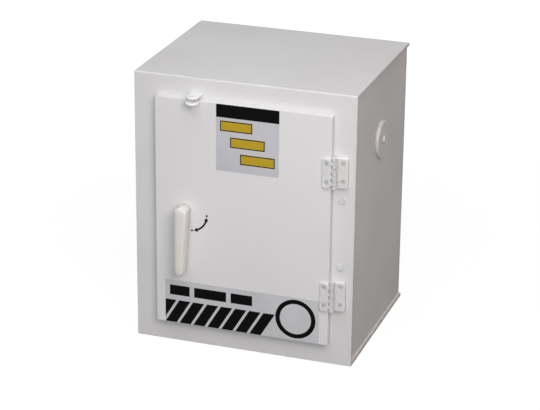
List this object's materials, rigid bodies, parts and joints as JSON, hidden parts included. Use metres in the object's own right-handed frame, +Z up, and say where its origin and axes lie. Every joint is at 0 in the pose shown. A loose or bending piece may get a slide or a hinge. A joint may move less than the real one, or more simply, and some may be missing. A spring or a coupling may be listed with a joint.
{
  "type": "bench-top corrosives cabinet",
  "caption": "White welded-plastic bench-top cabinet for corrosive liquids: overlay door on offset hinges, turning lever latch, padlock eye, plugged side vent and lift-out tray shelf.",
  "frame": {"origin": "centre of the base panel's footprint on the surface that the cabinet stands on", "axes": "+X to the right seen from the door side, +Y to the back, +Z up; the door faces -Y"},
  "size_m": [0.3738, 0.338, 0.457],
  "materials": {
    "body_sheet": "natural white polyethylene sheet, satin",
    "weld_rod": "hot-gas weld bead, satin",
    "door_slab": "natural white polyethylene slab, satin",
    "hinge_plastic": "moulded white plastic",
    "fastener_plastic": "moulded pale grey-white plastic",
    "lug_plastic": "moulded white plastic",
    "handle_plastic": "moulded ivory plastic",
    "plug_plastic": "moulded white plastic",
    "shelf_sheet": "white polyethylene",
    "upper_label_film": "pale grey vinyl film with plain printed bars",
    "lower_label_film": "pale grey vinyl film with plain printed stripes",
    "decal_ink": "black vinyl film"
  },
  "bodies": {
    "cabinet": {"top_panel": "body_sheet", "base_panel": "body_sheet", "back_panel": "body_sheet", "left_side_panel": "body_sheet", "right_side_panel": "body_sheet", "front_frame": "body_sheet", "left_base_weld_bead": "weld_rod", "right_base_weld_bead": "weld_rod", "left_top_weld_bead": "weld_rod", "right_top_weld_bead": "weld_rod", "hinge_backing_strip": "body_sheet", "strip_buttons": "fastener_plastic", "upper_hinge_frame_leaf": "hinge_plastic", "lower_hinge_frame_leaf": "hinge_plastic", "upper_hinge_pin": "fastener_plastic", "lower_hinge_pin": "fastener_plastic", "frame_leaf_screws": "fastener_plastic", "frame_lock_lug": "lug_plastic", "vent_collar": "body_sheet", "left_shelf_bearer": "body_sheet", "right_shelf_bearer": "body_sheet"},
    "door": {"door_panel": "door_slab", "upper_hinge_door_leaf": "hinge_plastic", "lower_hinge_door_leaf": "hinge_plastic", "door_leaf_screws": "fastener_plastic", "door_lock_lug": "lug_plastic", "latch_bush": "handle_plastic", "upper_label": "upper_label_film", "lower_label": "lower_label_film", "arrow_decal": "decal_ink"},
    "latch": {"latch_handle": "handle_plastic", "latch_shaft": "handle_plastic", "latch_spacer": "handle_plastic", "latch_tongue": "handle_plastic", "latch_washer": "fastener_plastic", "latch_nut": "fastener_plastic"},
    "vent_plug": {"vent_plug": "plug_plastic"},
    "shelf": {"shelf": "shelf_sheet"}
  },
  "joints": [
    {"name": "door_swing", "type": "hinge", "parent": "cabinet", "child": "door", "pos_m": [0.1526, -0.1611, 0.2263], "axis": [0, 0, 1], "range_deg": [0, 180]},
    {"name": "handle_turn", "type": "hinge", "parent": "door", "child": "latch", "pos_m": [-0.0942, -0.1614, 0.2386], "axis": [0, -1, 0], "range_deg": [0, 90]},
    {"name": "vent_plug_pull", "type": "slide", "parent": "cabinet", "child": "vent_plug", "axis": [1, 0, 0], "range_m": [0, 0.03]},
    {"name": "shelf_lift", "type": "slide", "parent": "cabinet", "child": "shelf", "axis": [0, 0, 1], "range_m": [0, 0.06]}
  ]
}
